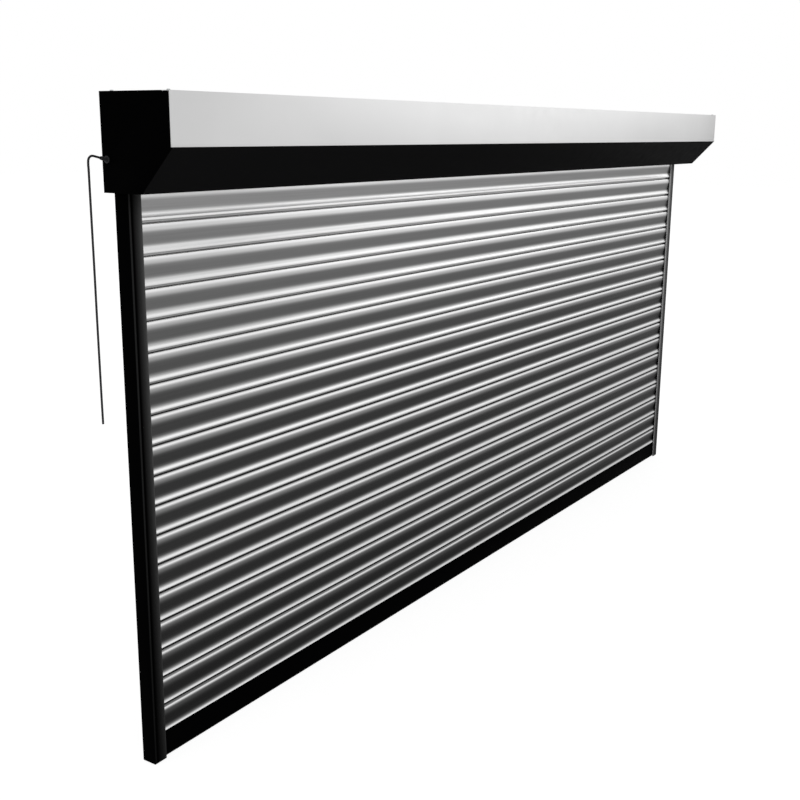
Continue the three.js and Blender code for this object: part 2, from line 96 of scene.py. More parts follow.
# Lath section in millimetres: reaches from the foot of its face, heights from the joint under it,
# and the shoulder's levels are drops from the joint over it
SEAT_GAP = 0.3
LATH_GAUGE = 1
FOLD = 1.5
CURL_BACK = 2.6
HOOK_FLOOR = 1.6
BEAD_REACH = 4.6
NOSE_HEIGHT = 6.2
CREASE_HEIGHT = 24.5
FACE_LEAN = 3.4
SHOULDER_FOOT = 28.6
SHOULDER_RADIUS = 4.5
SHOULDER_LEDGE = 5.4
NECK_HEIGHT = 11.2
TIP_DROP = 5.6
HOOK_CLEARANCE = 1.45
CURVE_STEPS = 12

# Modelling: how near counts as touching, and the turns that count as flat, folded, sharp and smooth
TOUCHING = 0.01 * MM
WELD = 0.005 * MM
FLAT_TURN = math.radians(0.5)
FOLD_TURN = math.radians(20)
SHARP_TURN = math.radians(30)
SMOOTH_TURN = math.radians(35)
FOLD_STEPS = 3
EDGE_STEPS = 2

slat_names = sorted(name for name in frame["nodes"] if name.startswith("slat_"))
slat_count = len(slat_names)
slat_low, slat_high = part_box(slat_names[0])
lath_pitch = (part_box(slat_names[1])[0].z - slat_low.z) / MM
first_joint = slat_low.z / MM - HOOK_FLOOR + LATH_GAUGE / 2
curtain_front = slat_low.y / MM + BEAD_REACH + LATH_GAUGE / 2


def add_camera():
    """The camera that sees the shutter as the photograph does."""
    ahead = Vector((
        math.sin(CAMERA_YAW) * math.cos(CAMERA_PITCH),
        math.cos(CAMERA_YAW) * math.cos(CAMERA_PITCH),
        -math.sin(CAMERA_PITCH),
    ))
    level = Vector((math.cos(CAMERA_YAW), -math.sin(CAMERA_YAW), 0))
    rise = level.cross(ahead)
    right = math.cos(CAMERA_ROLL) * level + math.sin(CAMERA_ROLL) * rise
    up = math.cos(CAMERA_ROLL) * rise - math.sin(CAMERA_ROLL) * level
    data = bpy.data.cameras.new("camera")
    data.lens = CAMERA_LENS
    data.sensor_width = CAMERA_SENSOR
    camera = bpy.data.objects.new("camera", data)
    turned_to = Matrix((right, up, -ahead)).transposed().to_4x4()
    camera.matrix_world = Matrix.Translation(CAMERA_PLACE) @ turned_to
    bpy.context.scene.collection.objects.link(camera)
    bpy.context.scene.camera = camera


def add_lead():
    """The free cord at the left end, as a round curve along its route."""
    curve = bpy.data.curves.new("motor_lead", "CURVE")
    curve.dimensions = "3D"
    curve.bevel_depth = 1
    curve.bevel_resolution = 5
    curve.resolution_u = 10
    curve.use_fill_caps = True
    spline = curve.splines.new("BEZIER")
    spline.bezier_points.add(len(LEAD_ROUTE) - 1)
    for point, (x, z) in zip(spline.bezier_points, LEAD_ROUTE):
        point.co = Vector((x, LEAD_Y, z)) * MM
        point.radius = LEAD_RADIUS * MM
        point.handle_left_type = point.handle_right_type = "AUTO"
    lead = bpy.data.objects.new("motor_lead", curve)
    bpy.context.scene.collection.objects.link(lead)
    return lead


def start_plane(name, length, middle, depth, place, tilt):
    """A plane with a length and a middle along X, and a depth, tilted about X at its place in Y and Z."""
    bpy.ops.object.select_all(action="DESELECT")
    bpy.ops.mesh.primitive_plane_add(size=1, location=(middle, *place), rotation=(tilt, 0, 0))
    piece = bpy.context.object
    piece.name = piece.data.name = name
    piece.scale = (length, depth, 1)
    bpy.ops.object.transform_apply(location=True, rotation=True, scale=True)
    return piece


def select_edges(piece, wanted):
    """Selects only the edges that pass a test, in edit mode."""
    mesh = bmesh.from_edit_mesh(piece.data)
    bpy.ops.mesh.select_mode(type="EDGE")
    bpy.ops.mesh.select_all(action="DESELECT")
    for edge in mesh.edges:
        if wanted(edge):
            edge.select_set(True)
    mesh.select_flush_mode()
    bmesh.update_edit_mesh(piece.data)


def folded_sheet(name, line, gauge, low_x, high_x, fold):
    """A sheet of even gauge, drawn as its section's centreline in Y and Z and run along X.

    The fold eases its corners. Its right side, in the first material, lies to the left of the line.
    """
    (y0, z0), (y1, z1) = [(y * MM, z * MM) for y, z in line[:2]]
    run = math.hypot(y1 - y0, z1 - z0)
    place = ((y0 + y1) / 2, (z0 + z1) / 2)
    tilt = math.atan2(z1 - z0, y1 - y0)
    piece = start_plane(name, (high_x - low_x) * MM, (low_x + high_x) / 2 * MM, run, place, tilt)
    bpy.ops.object.mode_set(mode="EDIT")
    end = Vector((y1, z1))
    select_edges(piece, lambda edge: all((v.co.yz - end).length < TOUCHING for v in edge.verts))
    for (ya, za), (yb, zb) in zip(line[1:], line[2:]):
        step = (0, (yb - ya) * MM, (zb - za) * MM)
        bpy.ops.mesh.extrude_region_move(TRANSFORM_OT_translate={"value": step})
    select_edges(piece, lambda edge: len(edge.link_faces) == 2 and edge.calc_face_angle() > FOLD_TURN)
    bpy.ops.mesh.bevel(offset=fold * MM, segments=FOLD_STEPS, affect="EDGES", clamp_overlap=True)
    bpy.ops.object.mode_set(mode="OBJECT")
    wall = piece.modifiers.new("wall", "SOLIDIFY")
    wall.thickness = gauge * MM
    wall.offset = 0
    wall.use_even_offset = True
    wall.material_offset = 1
    bpy.ops.object.modifier_apply(modifier="wall")
    bpy.ops.object.shade_smooth_by_angle(angle=SMOOTH_TURN)
    return piece


def turned(name, profile, sides=32):
    """A round piece on the Z axis from its profile, as radius and height, from one end to the other."""
    bpy.ops.object.select_all(action="DESELECT")
    radius, height = profile[0]
    bpy.ops.mesh.primitive_circle_add(
        vertices=sides, radius=radius * MM, fill_type="NGON", location=(0, 0, height * MM),
    )
    piece = bpy.context.object
    piece.name = piece.data.name = name
    bpy.ops.object.transform_apply(location=True, rotation=True, scale=True)
    bpy.ops.object.mode_set(mode="EDIT")
    bpy.ops.mesh.select_mode(type="FACE")
    bpy.ops.mesh.select_all(action="SELECT")
    for next_radius, next_height in profile[1:]:
        step = (0, 0, (next_height - height) * MM)
        bpy.ops.mesh.extrude_region_move(TRANSFORM_OT_translate={"value": step})
        share = next_radius / radius
        bpy.ops.transform.resize(value=(share, share, 1))
        radius, height = next_radius, next_height
    bpy.ops.mesh.select_all(action="SELECT")
    bpy.ops.mesh.normals_make_consistent(inside=False)
    bpy.ops.object.mode_set(mode="OBJECT")
    bpy.ops.object.shade_smooth_by_angle(angle=SMOOTH_TURN)
    return piece


def cut(piece, cutter):
    """Takes the cutter's shape out of a piece."""
    bpy.ops.object.select_all(action="DESELECT")
    piece.select_set(True)
    bpy.context.view_layer.objects.active = piece
    recess = piece.modifiers.new("recess", "BOOLEAN")
    recess.operation = "DIFFERENCE"
    recess.solver = "EXACT"
    recess.object = cutter
    bpy.ops.object.modifier_apply(modifier="recess")
    bpy.data.objects.remove(cutter)


def joined(pieces):
    """The pieces as one, under the first one's name."""
    bpy.ops.object.select_all(action="DESELECT")
    for piece in pieces:
        piece.select_set(True)
    bpy.context.view_layer.objects.active = pieces[0]
    bpy.ops.object.join()
    return pieces[0]


def eased(node, width):
    """A copy of a node with its edges rounded over a width."""
    bpy.ops.object.select_all(action="DESELECT")
    source = frame["nodes"][node]
    piece = bpy.data.objects.new(f"{node}_shell", source.data.copy())
    piece.data.name = piece.name
    bpy.context.scene.collection.objects.link(piece)
    piece.select_set(True)
    bpy.context.view_layer.objects.active = piece
    bpy.ops.object.mode_set(mode="EDIT")
    bpy.ops.mesh.select_all(action="SELECT")
    bpy.ops.mesh.remove_doubles(threshold=WELD)
    bpy.ops.mesh.dissolve_limited(angle_limit=FLAT_TURN)
    bpy.ops.object.mode_set(mode="OBJECT")
    round_edges = piece.modifiers.new("edges", "BEVEL")
    round_edges.width = width * MM
    round_edges.segments = EDGE_STEPS
    round_edges.limit_method = "ANGLE"
    round_edges.angle_limit = SHARP_TURN
    bpy.ops.object.modifier_apply(modifier="edges")
    bpy.ops.object.shade_smooth_by_angle(angle=SMOOTH_TURN)
    return piece


def copied(model, name, shift):
    """A copy with its own mesh, moved to its place."""
    piece = bpy.data.objects.new(name, model.data.copy())
    piece.data.name = name
    piece.data.transform(Matrix.Translation(shift))
    bpy.context.scene.collection.objects.link(piece)
    return piece


def settle(piece, node, *finishes):
    """The piece stands for a node: same body, and its finishes."""
    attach(piece, frame["nodes"][node]["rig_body"])
    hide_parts(node)
    piece.data.materials.clear()
    for finish in finishes:
        piece.data.materials.append(finish)


# Scales of the finishes' patterns, per metre: slow clouds, patches of a few centimetres and orange peel
CLOUD = 2.2
PATCH = 35
PEEL = 420


class Finish:
    """A procedural material around one Principled shader, on Object coordinates."""

    def __init__(self, name, color, roughness, metallic=0.0, specular=0.5):
        self.material = bpy.data.materials.new(name)
        self.material.use_nodes = True
        self.nodes = self.material.node_tree.nodes
        self.links = self.material.node_tree.links
        self.shader = self.nodes["Principled BSDF"]
        self.shader.inputs["Base Color"].default_value = (*color, 1)
        self.shader.inputs["Roughness"].default_value = roughness
        self.shader.inputs["Metallic"].default_value = metallic
        self.shader.inputs["Specular IOR Level"].default_value = specular
        self.place = self.nodes.new("ShaderNodeTexCoord").outputs["Object"]

    def noise(self, scale, detail, stretch=(1, 1, 1)):
        """Noise, finer along the axes that are stretched."""
        mapping = self.nodes.new("ShaderNodeMapping")
        mapping.inputs["Scale"].default_value = stretch
        noise = self.nodes.new("ShaderNodeTexNoise")
        noise.inputs["Scale"].default_value = scale
        noise.inputs["Detail"].default_value = detail
        self.links.new(self.place, mapping.inputs["Vector"])
        self.links.new(mapping.outputs["Vector"], noise.inputs["Vector"])
        return noise.outputs["Fac"]

    def axis(self, name):
        """One coordinate of the place on the object, in metres."""
        split = self.nodes.new("ShaderNodeSeparateXYZ")
        self.links.new(self.place, split.inputs["Vector"])
        return split.outputs[name]

    def ramp(self, factor, stops):
        """A grey or a colour by stops of position and value."""
        node = self.nodes.new("ShaderNodeValToRGB")
        elements = node.color_ramp.elements
        while len(elements) < len(stops):
            elements.new(0.5)
        for element, (position, value) in zip(elements, stops):
            element.position = position
            element.color = (*value, 1) if isinstance(value, tuple) else (value, value, value, 1)
        self.links.new(factor, node.inputs["Fac"])
        return node.outputs["Color"]

    def math(self, operation, first, second=0):
        """A sum on sockets or plain numbers."""
        node = self.nodes.new("ShaderNodeMath")
        node.operation = operation
        for socket, value in zip(node.inputs, (first, second)):
            if isinstance(value, (int, float)):
                socket.default_value = value
            else:
                self.links.new(value, socket)
        return node.outputs["Value"]

    def span(self, value, low, high):
        """0 at the low end, 1 at the high end, held beyond both."""
        node = self.nodes.new("ShaderNodeMapRange")
        node.inputs["From Min"].default_value = low
        node.inputs["From Max"].default_value = high
        self.links.new(value, node.inputs["Value"])
        return node.outputs["Result"]

    def mixed(self, first, second, factor=1, blend="MULTIPLY"):
        """The first tone, multiplied by the second or blended into it by the factor."""
        node = self.nodes.new("ShaderNodeMix")
        node.data_type = "RGBA"
        node.blend_type = blend
        if isinstance(factor, (int, float)):
            node.inputs["Factor"].default_value = factor
        else:
            self.links.new(factor, node.inputs["Factor"])
        self.links.new(first, node.inputs["A"])
        self.links.new(second, node.inputs["B"])
        return node.outputs["Result"]

    def clouded(self, noise, low, high):
        """The noise as a ramp from one value to another, flat at both ends."""
        return self.ramp(noise, [(0.3, low), (0.7, high)])

    def color(self, socket):
        self.links.new(socket, self.shader.inputs["Base Color"])

    def roughness(self, noise, low, high):
        self.links.new(self.clouded(noise, low, high), self.shader.inputs["Roughness"])

    def bump(self, height, depth):
        """Relief with a depth in millimetres."""
        bump = self.nodes.new("ShaderNodeBump")
        bump.inputs["Distance"].default_value = depth * MM
        self.links.new(height, bump.inputs["Height"])
        self.links.new(bump.outputs["Normal"], self.shader.inputs["Normal"])


def shade(color, share):
    """The colour, darker or lighter by a share."""
    return tuple(channel * share for channel in color)


def peeled(finish, roughness, peel):
    """The surface of a powder coat: patches more or less matt, under fine orange peel."""
    finish.roughness(finish.noise(PATCH, 2), roughness - 0.04, roughness + 0.05)
    finish.bump(finish.noise(PEEL, 2), peel)
    return finish.material


def coat(name, color, roughness, metallic, specular, peel):
    """Powder coat with a faint cloud in its tone."""
    finish = Finish(name, color, roughness, metallic, specular)
    finish.color(finish.clouded(finish.noise(CLOUD, 4), shade(color, 0.96), shade(color, 1.03)))
    return peeled(finish, roughness, peel)


# Painted sheen on the guides' front faces from their outer edge to the curtain, with a painted highlight by
# the left guide's outer edge, and the share of it left at the foot as painted shade
GUIDE_SHEEN_LEFT = [
    (0.0, 0.008), (0.05, 0.024), (0.12, 0.024), (0.17, 0.001), (0.27, 0.001), (0.35, 0.008), (0.65, 0.033),
    (0.9, 0.07), (1.0, 0.13),
]
GUIDE_SHEEN_RIGHT = [(0.0, 0.07), (0.3, 0.08), (0.7, 0.18), (0.94, 0.34), (1.0, 0.7)]
GUIDE_FOOT_SHADE = 0.3


def sheen_painted_coat(name, guide, tones):
    """A guide's front face: black coat with painted sheen, paler towards the curtain and towards the top.
    """
    finish = Finish(name, (0.001, 0.001, 0.001), 0.4, 0, 0.001)
    across = finish.math("ABSOLUTE", finish.axis("X"))
    low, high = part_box(guide)
    near, far = sorted((abs(low.x), abs(high.x)))
    tone = finish.ramp(finish.span(across, far, near), tones)
    up = finish.ramp(finish.span(finish.axis("Z"), low.z, high.z), [(0.0, GUIDE_FOOT_SHADE), (1.0, 1.0)])
    finish.color(finish.mixed(tone, up))
    return peeled(finish, 0.4, 0.03)


def plated(name, color, roughness):
    """Zinc plate: soft spangle and fine grain."""
    finish = Finish(name, color, roughness, 0.85)
    spangle = finish.nodes.new("ShaderNodeTexVoronoi")
    spangle.inputs["Scale"].default_value = 90
    finish.links.new(finish.place, spangle.inputs["Vector"])
    tone = finish.ramp(spangle.outputs["Color"], [(0.0, shade(color, 0.86)), (1.0, shade(color, 1.08))])
    finish.color(tone)
    finish.roughness(finish.noise(60, 3), roughness - 0.08, roughness + 0.1)
    finish.bump(finish.noise(700, 2), 0.01)
    return finish.material


def rubber(name, color, roughness):
    """Matt rubber or plastic with a faint grain."""
    finish = Finish(name, color, roughness, 0, 0.3)
    finish.color(finish.clouded(finish.noise(30, 4), shade(color, 0.8), shade(color, 1.25)))
    finish.roughness(finish.noise(80, 2), roughness - 0.06, roughness + 0.06)
    finish.bump(finish.noise(900, 3), 0.03)
    return finish.material


# Tone of the laths by share of the pitch: painted highlights on the bead and the shoulder, a dark face and
# painted shade in the groove. The painted highlights are widest and the face palest at the top of the
# curtain, painted light that darkens towards the floor.
LATH_TOP_ROWS = [
    (0.0, 0.34), (0.012, 0.32), (0.03, 0.57), (0.06, 0.68), (0.208, 0.86), (0.24, 0.60), (0.275, 0.375),
    (0.31, 0.25), (0.36, 0.215), (0.56, 0.21), (0.62, 0.225), (0.665, 0.30), (0.70, 0.45), (0.74, 0.62),
    (0.87, 0.76), (0.90, 1.0), (0.935, 1.0), (0.94, 0.36), (1.0, 0.34),
]
LATH_MIDDLE_ROWS = [
    (0.0, 0.25), (0.012, 0.34), (0.04, 0.54), (0.065, 0.80), (0.105, 0.93), (0.14, 0.62), (0.175, 0.28),
    (0.22, 0.083), (0.28, 0.038), (0.36, 0.033), (0.55, 0.033), (0.62, 0.055), (0.70, 0.15), (0.775, 0.25),
    (0.815, 0.50), (0.85, 0.86), (0.88, 0.80), (0.905, 0.42), (0.925, 0.2), (1.0, 0.2),
]
LATH_FOOT_ROWS = [
    (0.0, 0.30), (0.012, 1.0), (0.03, 0.86), (0.07, 0.76), (0.093, 0.64), (0.115, 0.36), (0.14, 0.15),
    (0.165, 0.075), (0.20, 0.032), (0.24, 0.0165), (0.38, 0.0125), (0.50, 0.0135), (0.58, 0.024),
    (0.66, 0.048), (0.735, 0.072), (0.77, 0.16), (0.81, 0.54), (0.845, 0.82), (0.868, 0.44), (0.885, 0.16),
    (0.92, 0.12), (1.0, 0.30),
]
# Heights in laths from the foot at which the middle and the top tones of the painted light are met, and the
# power that holds the top tones back
MIDDLE_ROW = 0.45 * slat_count
TOP_ROW = slat_count - 1.5
TOP_BLEND = 1.7
# Away from the left end the bead's painted highlight is wider, most of all in the lower rows, and the
# painted highlights of the top rows are brighter. The rows say where each of these begins and where it is
# full.
HIGHLIGHT_WIDENING_ROWS = (0.75 * slat_count, 0.4 * slat_count)
HIGHLIGHT_GAIN_ROWS = (0.45 * slat_count, 0.8 * slat_count)
BEAD_HIGHLIGHT_WIDENING = [(0.06, 0.0), (0.135, 0.036), (0.25, 0.036), (0.36, 0.0)]
BEAD_HIGHLIGHT_WIDENING_ALONG = [(0.08, 0.0), (0.27, 0.36), (0.5, 0.58), (0.8, 0.97), (1.0, 1.0)]
HIGHLIGHT_GAIN = 1.2
HIGHLIGHT_GAIN_ALONG = [(0.08, 0.0), (0.24, 1.0), (0.5, 1.0), (0.8, 0.8), (1.0, 0.8)]
HIGHLIGHT_GAIN_BY_SHARE = [(0.0, 1.0), (0.20, 1.0), (0.29, 0.0), (0.62, 0.0), (0.7, 1.0), (1.0, 1.0)]
# Shade on the bead's nose, which deepens towards the right end
NOSE_SHADE = [(0.0, 0.74), (0.065, 0.78), (0.11, 1.0), (0.95, 1.0), (1.0, 0.74)]
NOSE_SHADE_ALONG = [(0.08, 0.0), (0.27, 0.45), (0.5, 0.65), (0.8, 1.0), (1.0, 1.0)]
# Painted shade in the crease over the bead, which shows in the top rows of the left half, and painted light
# that makes the row under the box paler
LATH_CREASE_SHADE = [(0.0, 1.0), (0.125, 1.0), (0.136, 0.8), (0.147, 1.0), (1.0, 1.0)]
SHADED_CREASE_ROWS = 3
ROW_UNDER_BOX_LIGHT = 1.15
ROW_STEP = 0.01
LATH_ROUGHNESS = 0.36
LATH_EDGE_TINT = 0.6


def lath_steel():
    """Rolled steel: dark face, with highlights painted on the bead and the shoulder and shade painted in
    the groove; the face is painted paler towards the top of the curtain.
    """
    finish = Finish("lath_steel", (0.3, 0.3, 0.3), LATH_ROUGHNESS, 1.0)
    finish.shader.inputs["Specular Tint"].default_value = (*[LATH_EDGE_TINT] * 3, 1)
    laths_up = finish.span(finish.axis("Z"), first_joint * MM, (first_joint + lath_pitch) * MM)
    laths_up.node.clamp = False
    share = finish.math("FRACT", laths_up)
    along = finish.span(finish.axis("X"), slat_low.x, slat_high.x)
    # Painted highlight: the bead's bright band widens away from the left end.
    highlight_widening_rows = finish.span(laths_up, *HIGHLIGHT_WIDENING_ROWS)
    highlight_widening = finish.math("MULTIPLY", finish.ramp(along, BEAD_HIGHLIGHT_WIDENING_ALONG), highlight_widening_rows)
    highlight_widening = finish.math("MULTIPLY", highlight_widening, finish.ramp(share, BEAD_HIGHLIGHT_WIDENING))
    # Painted highlight: the bright bands of the top rows are brightened.
    highlight_gain_rows = finish.span(laths_up, *HIGHLIGHT_GAIN_ROWS)
    highlight_gain = finish.math("MULTIPLY", finish.ramp(along, HIGHLIGHT_GAIN_ALONG), highlight_gain_rows)
    highlight_gain = finish.math("MULTIPLY", highlight_gain, finish.ramp(share, HIGHLIGHT_GAIN_BY_SHARE))
    highlight_gain = finish.math("ADD", finish.math("MULTIPLY", highlight_gain, HIGHLIGHT_GAIN - 1), 1)
    share = finish.math("SUBTRACT", share, highlight_widening)
    # Painted light by row: the laths' tones pale towards the top of the curtain.
    foot, middle, top = [
        finish.ramp(share, stops) for stops in (LATH_FOOT_ROWS, LATH_MIDDLE_ROWS, LATH_TOP_ROWS)
    ]
    to_middle = finish.span(laths_up, 1, MIDDLE_ROW)
    to_top = finish.math("POWER", finish.span(laths_up, MIDDLE_ROW, TOP_ROW), TOP_BLEND)
    tone = finish.mixed(foot, middle, to_middle, "MIX")
    tone = finish.mixed(tone, top, to_top, "MIX")
    # Painted shade in the crease over the bead, in the top rows of the left half.
    upper_rows = finish.span(laths_up, TOP_ROW - SHADED_CREASE_ROWS, TOP_ROW)
    left_half = finish.span(finish.axis("X"), 0, slat_low.x)
    crease_shade_mask = finish.math("MULTIPLY", upper_rows, left_half)
    tone = finish.mixed(tone, finish.ramp(share, LATH_CREASE_SHADE), crease_shade_mask)
    # Painted light: the row under the box is made paler.
    top_lath = math.floor(TOP_ROW)
    under_box_light = finish.span(laths_up, top_lath - ROW_STEP, top_lath + ROW_STEP)
    tone = finish.mixed(tone, finish.ramp(under_box_light, [(0.0, 1.0), (1.0, ROW_UNDER_BOX_LIGHT)]))
    tone = finish.mixed(tone, highlight_gain)
    tone = finish.mixed(tone, finish.ramp(share, NOSE_SHADE), finish.ramp(along, NOSE_SHADE_ALONG))
    streaks = finish.clouded(finish.noise(1.0, 3, (1.5, 60, 260)), 0.95, 1.04)
    finish.color(finish.mixed(tone, streaks))
    finish.roughness(finish.noise(1.0, 3, (3, 90, 90)), LATH_ROUGHNESS - 0.05, LATH_ROUGHNESS + 0.06)
    finish.bump(finish.noise(1.0, 2, (8, 400, 400)), 0.004)
    return finish.material


# Painted sheen on the pale covers along the box: a painted highlight, palest over the middle
COVER_PAINTED_SHEEN = [
    (0.0, 0.67), (0.05, 0.70), (0.106, 0.795), (0.192, 0.885), (0.307, 0.985), (0.42, 0.95), (0.54, 0.895),
    (0.77, 0.90), (0.88, 0.87), (0.94, 0.81), (0.98, 0.72), (1.0, 0.68),
]
# Painted shade at the cover's foot, but for the stretch by the left end, where it stays as at the top
COVER_FOOT_SHADE = 0.85
EVEN_STRETCH = 0.15
FULL_STRETCH = 0.6


def painted_sheen_cover():
    """Silver-grey powder coat, with a painted highlight along the middle and painted light that pales it
    towards the top.
    """
    finish = Finish("pale_coat", (0.66, 0.66, 0.67), 0.4, 0.2, 0.5)
    along = finish.ramp(finish.span(finish.axis("X"), cad_low.x, cad_high.x), COVER_PAINTED_SHEEN)
    low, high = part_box("front_cover")
    up = finish.ramp(finish.span(finish.axis("Z"), low.z, high.z), [(0.0, COVER_FOOT_SHADE), (1.0, 1.0)])
    past_end = finish.span(finish.axis("X"), low.x + EVEN_STRETCH, low.x + FULL_STRETCH)
    cloud = finish.clouded(finish.noise(CLOUD, 4), 0.97, 1.02)
    finish.color(finish.mixed(finish.mixed(along, up, past_end), cloud))
    return peeled(finish, 0.4, 0.02)


pale_coat = painted_sheen_cover()
black_coat = coat("black_coat", (0.001, 0.001, 0.0011), 0.55, 0, 0.001, 0.03)
guide_face_left_sheen = sheen_painted_coat("guide_face_left_sheen", "guide_left", GUIDE_SHEEN_LEFT)
guide_face_right_sheen = sheen_painted_coat("guide_face_right_sheen", "guide_right", GUIDE_SHEEN_RIGHT)
# The black coat, painted paler on the bevel cover as painted light.
bevel_painted_light_coat = coat("bevel_painted_light_coat", (0.0075, 0.0075, 0.0077), 0.55, 0, 0.001, 0.03)
lath_front_painted_light = lath_steel()
lath_back = plated("lath_back", (0.3, 0.305, 0.31), 0.45)
zinc_steel = plated("zinc_steel", (0.42, 0.43, 0.44), 0.42)
spring_steel = plated("spring_steel", (0.08, 0.085, 0.09), 0.4)
motor_coat = coat("motor_coat", (0.5, 0.51, 0.52), 0.5, 0.1, 0.5, 0.02)
black_plastic = rubber("black_plastic", (0.008, 0.008, 0.009), 0.55)
seal_strip = rubber("seal_strip", (0.012, 0.0115, 0.011), 0.85)
seal_pile = rubber("seal_pile", (0.5, 0.5, 0.5), 0.9)
cable_jacket = rubber("cable_jacket", (0.006, 0.006, 0.007), 0.6)

finish_of_slot = {
    "pale_coat": pale_coat, "black_coat": black_coat, "lath_steel": lath_front_painted_light, "zinc_steel": zinc_steel,
    "spring_steel": spring_steel, "motor_coat": motor_coat, "black_plastic": black_plastic,
    "seal_strip": seal_strip, "cable_jacket": cable_jacket,
}


def dress_nodes():
    """Every node starts in the finish of its slot."""
    for part in frame["record"]["subparts"]:
        materials = frame["nodes"][part["node"]].data.materials
        materials.clear()
        materials.append(finish_of_slot[part["material_slot"]])


def bend(centre_reach, centre_height, radius, from_tilt, to_tilt):
    """Points along an arc in the lath's section, by its tangents' backward tilts."""
    points = []
    for i in range(CURVE_STEPS + 1):
        tilt = from_tilt + (to_tilt - from_tilt) * i / CURVE_STEPS
        points.append((centre_reach + radius * math.cos(tilt), centre_height + radius * math.sin(tilt)))
    return points


def lath_line():
    """The lath's section as Y and Z, from the curl at its foot to the tip of its hook."""
    neck_back = CURL_BACK + LATH_GAUGE + HOOK_CLEARANCE
    tip_back = CURL_BACK - LATH_GAUGE - HOOK_CLEARANCE
    curl_top = NECK_HEIGHT - LATH_GAUGE / 2 - SEAT_GAP
    line = [
        (-CURL_BACK, curl_top), (-CURL_BACK, HOOK_FLOOR),
        (BEAD_REACH, HOOK_FLOOR), (BEAD_REACH, NOSE_HEIGHT),
    ]
    for i in range(1, CURVE_STEPS + 1):
        rise = i / CURVE_STEPS
        line.append((BEAD_REACH * (1 - rise) ** 2, NOSE_HEIGHT + rise * (CREASE_HEIGHT - NOSE_HEIGHT)))
    lean = math.atan2(FACE_LEAN, lath_pitch - CREASE_HEIGHT - SHOULDER_FOOT)
    roll_height = lath_pitch - SHOULDER_LEDGE - SHOULDER_RADIUS
    roll_start = roll_height + SHOULDER_RADIUS * math.sin(lean)
    crown_radius = (roll_start - lath_pitch + SHOULDER_FOOT) / (2 * math.sin(lean))
    crown_height = lath_pitch - SHOULDER_FOOT + crown_radius * math.sin(lean)
    line += bend(FACE_LEAN - crown_radius * math.cos(lean), crown_height, crown_radius, -lean, lean)
    roll_centre = FACE_LEAN - SHOULDER_RADIUS * math.cos(lean)
    line += bend(roll_centre, roll_height, SHOULDER_RADIUS, lean, math.pi / 2)[1:]
    line += [
        (-neck_back, lath_pitch - SHOULDER_LEDGE), (-neck_back, lath_pitch + NECK_HEIGHT),
        (-tip_back, lath_pitch + NECK_HEIGHT), (-tip_back, lath_pitch + NECK_HEIGHT - TIP_DROP),
    ]
    return [(curtain_front - reach, first_joint + height) for reach, height in line]


def add_laths():
    """The lath is modelled once and copied up the curtain."""
    model = folded_sheet("lath_01", lath_line(), LATH_GAUGE, slat_low.x / MM, slat_high.x / MM, FOLD)
    laths = [model]
    for i in range(1, len(slat_names)):
        laths.append(copied(model, f"lath_{i + 1:02d}", (0, 0, i * lath_pitch * MM)))
    for lath, node in zip(laths, slat_names):
        settle(lath, node, lath_front_painted_light, lath_back)


# What keeps its solid's form, with the millimetres by which its edges are eased and its finish
EASED_PIECES = [
    ("front_cover", 0.35, pale_coat), ("box_back_panel", 0.35, pale_coat),
    ("box_top_panel", 0.3, pale_coat), ("bevel_cover", 0.35, bevel_painted_light_coat),
    ("end_cap_left", 0.6, black_coat), ("end_cap_right", 0.6, black_coat),
    ("bottom_bar", 0.4, black_coat), ("floor_seal", 0.8, seal_strip), ("mouth_seal", 0.6, seal_strip),
    ("inlet_left", 0.8, black_plastic), ("inlet_right", 0.8, black_plastic),
    ("guide_seal_left_front", 0.4, seal_pile), ("guide_seal_left_rear", 0.4, seal_strip),
    ("guide_seal_right_front", 0.4, seal_pile), ("guide_seal_right_rear", 0.4, seal_strip),
]
# The guides, with the painted-sheen finish of their front faces and the way along X to the curtain
GUIDES = [("guide_left", guide_face_left_sheen, 1), ("guide_right", guide_face_right_sheen, -1)]
GUIDE_EASE = 0.6
GUIDE_LIP = 3
FACING = 0.7


def add_housing():
    """Head box, guides and bottom bar. The front of each guide and its lip have a finish of their own, with
    painted sheen.
    """
    for node, width, finish in EASED_PIECES:
        settle(eased(node, width), node, finish)
    for node, face_finish, inward in GUIDES:
        guide = eased(node, GUIDE_EASE)
        settle(guide, node, black_coat, face_finish)
        lip_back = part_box(node)[0].y + GUIDE_LIP * MM
        for face in guide.data.polygons:
            on_lip = face.normal.x * inward > FACING and face.center.y < lip_back
            face.material_index = 1 if face.normal.y < -FACING or on_lip else 0


# Pan-head screws with a cross recess
SCREW_HEAD = 4
SCREW_HEIGHT = 2.2
SCREW_SHANK = 2
SCREW_SIDES = 28
RECESS_LENGTH = 4.2
RECESS_WIDTH = 0.9
RECESS_DEPTH = 1.5


def screw_profile(length):
    """From the point of the shank up to the domed head, whose underside is at zero."""
    head = [(SCREW_HEAD * wide, SCREW_HEIGHT * high) for wide, high in (
        (0.97, 0), (1.0, 0.06), (1.0, 0.42), (0.95, 0.66), (0.84, 0.84), (0.66, 0.95), (0.4, 1.0),
    )]
    shank = [(SCREW_SHANK * 0.2, -length), (SCREW_SHANK, -length + SCREW_SHANK), (SCREW_SHANK, 0)]
    return shank + head


